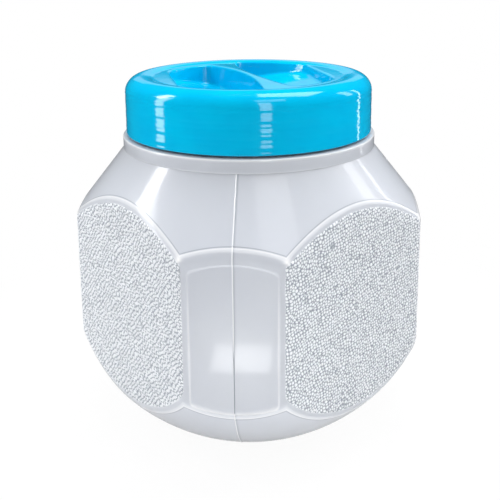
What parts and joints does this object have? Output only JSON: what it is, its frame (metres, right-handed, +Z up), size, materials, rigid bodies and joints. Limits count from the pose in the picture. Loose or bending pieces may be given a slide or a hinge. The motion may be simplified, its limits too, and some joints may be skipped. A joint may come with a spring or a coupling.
{
  "type": "screw-top jar",
  "caption": "Wide-mouth storage jar with flat grained sides, narrow corner panels and a bowl-shaped base, closed by a screw lid with finger pockets and a grip bar.",
  "frame": {"origin": "centre of the base, on the surface that the jar stands on", "axes": "+Z up along the jar's axis, -Y towards the corner panel with the mould seam that faces the front"},
  "size_m": [0.161, 0.161, 0.1658],
  "materials": {
    "jar_plastic": "milky translucent, glossy, with grained sides",
    "lid_plastic": "opaque sky blue, glossy",
    "seal_foam": "soft, matt, off-white"
  },
  "bodies": {
    "jar": {"jar_body": "jar_plastic"},
    "seal": {"sealing_ring": "seal_foam"},
    "lid": {"screw_lid": "lid_plastic"}
  },
  "joints": [
    {"name": "lid_lift", "type": "slide", "parent": "jar", "child": "seal", "axis": [0, 0, 1], "range_m": [0, 0.036]},
    {"name": "lid_turn", "type": "hinge", "parent": "seal", "child": "lid", "pos_m": [0, 0, 0.1395], "axis": [0, 0, 1], "range_deg": [0, 1080]}
  ],
  "couplings": [
    {"joint": "lid_lift", "follows": "lid_turn", "m_per_rad": 0.0019099}
  ]
}
